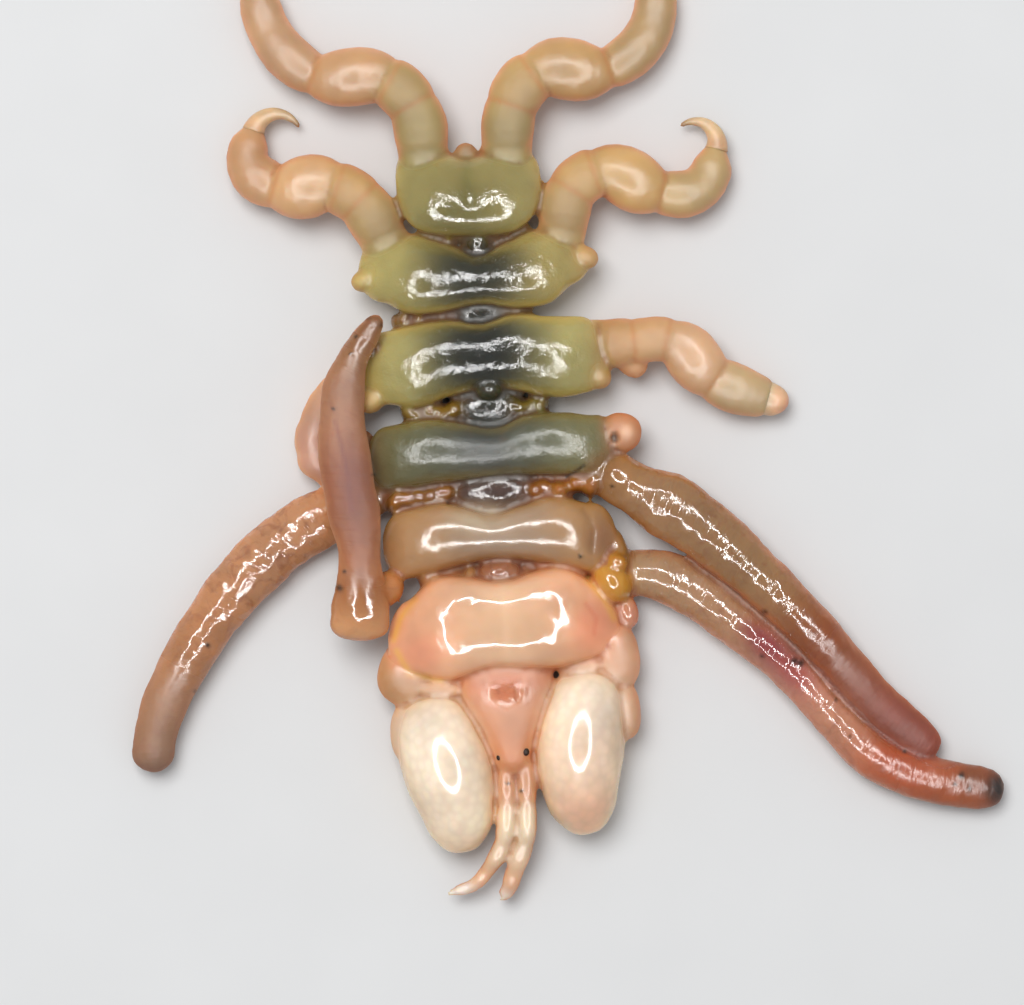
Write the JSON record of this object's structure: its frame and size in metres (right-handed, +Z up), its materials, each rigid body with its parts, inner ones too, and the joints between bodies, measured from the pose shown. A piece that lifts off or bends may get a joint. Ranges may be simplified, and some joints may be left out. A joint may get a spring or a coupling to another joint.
{
  "type": "whale louse",
  "caption": "Still life-size model of a whale louse: flat crustacean with barred trunk, oval hands, hooked hind legs and long gills.",
  "frame": {"origin": "on the floor, under the middle of the animal's box", "axes": "+Y along the trunk towards the tail, so the head is at -Y; +X towards the animal's left; +Z up, out of its back"},
  "size_m": [0.0196, 0.023, 0.002],
  "materials": {
    "front_cuticle": "translucent peach cuticle, wet and glossy",
    "hand_cuticle": "cream cuticle with peach tips and faint mottling, wet and glossy",
    "trunk_cuticle": "translucent olive to tan cuticle over a dark gut, wet and glossy",
    "leg_cuticle": "translucent orange-tan cuticle, wet and glossy",
    "gill_skin": "soft red-brown gill skin, wet and glossy",
    "claw_horn": "amber-brown horny claw",
    "eye": "black, glossy"
  },
  "bodies": {
    "root": {"abdomen": "trunk_cuticle", "accessory_gill_3_left": "gill_skin", "accessory_gill_3_right": "gill_skin", "accessory_gill_4_left": "gill_skin", "accessory_gill_4_right": "gill_skin", "antenna_1_left": "front_cuticle", "antenna_1_right": "front_cuticle", "antenna_2_left": "front_cuticle", "antenna_2_right": "front_cuticle", "eye_left": "eye", "eye_right": "eye", "gill_3_left_middle": "gill_skin", "gill_3_left_root": "gill_skin", "gill_3_left_tip": "gill_skin", "gill_3_right_middle": "gill_skin", "gill_3_right_root": "gill_skin", "gill_3_right_tip": "gill_skin", "gill_4_left_middle": "gill_skin", "gill_4_left_root": "gill_skin", "gill_4_left_tip": "gill_skin", "gill_4_right_middle": "gill_skin", "gill_4_right_root": "gill_skin", "gill_4_right_tip": "gill_skin", "gnathopod_1_left": "front_cuticle", "gnathopod_1_left_claw": "claw_horn", "gnathopod_1_right": "front_cuticle", "gnathopod_1_right_claw": "claw_horn", "gnathopod_2_left_arm": "front_cuticle", "gnathopod_2_left_claw": "claw_horn", "gnathopod_2_left_hand": "hand_cuticle", "gnathopod_2_right_arm": "front_cuticle", "gnathopod_2_right_claw": "claw_horn", "gnathopod_2_right_hand": "hand_cuticle", "head": "front_cuticle", "leg_5_left_claw": "claw_horn", "leg_5_left_lower": "leg_cuticle", "leg_5_left_upper": "leg_cuticle", "leg_5_right_claw": "claw_horn", "leg_5_right_lower": "leg_cuticle", "leg_5_right_upper": "leg_cuticle", "leg_6_left_claw": "claw_horn", "leg_6_left_lower": "leg_cuticle", "leg_6_left_upper": "leg_cuticle", "leg_6_right_claw": "claw_horn", "leg_6_right_lower": "leg_cuticle", "leg_6_right_upper": "leg_cuticle", "leg_7_left_claw": "claw_horn", "leg_7_left_lower": "leg_cuticle", "leg_7_left_upper": "leg_cuticle", "leg_7_right_claw": "claw_horn", "leg_7_right_lower": "leg_cuticle", "leg_7_right_upper": "leg_cuticle", "mouthparts": "front_cuticle", "pereonite_2": "front_cuticle", "pereonite_3": "trunk_cuticle", "pereonite_4": "trunk_cuticle", "pereonite_5": "trunk_cuticle", "pereonite_6": "trunk_cuticle", "pereonite_7": "trunk_cuticle"}
  },
  "joints": []
}
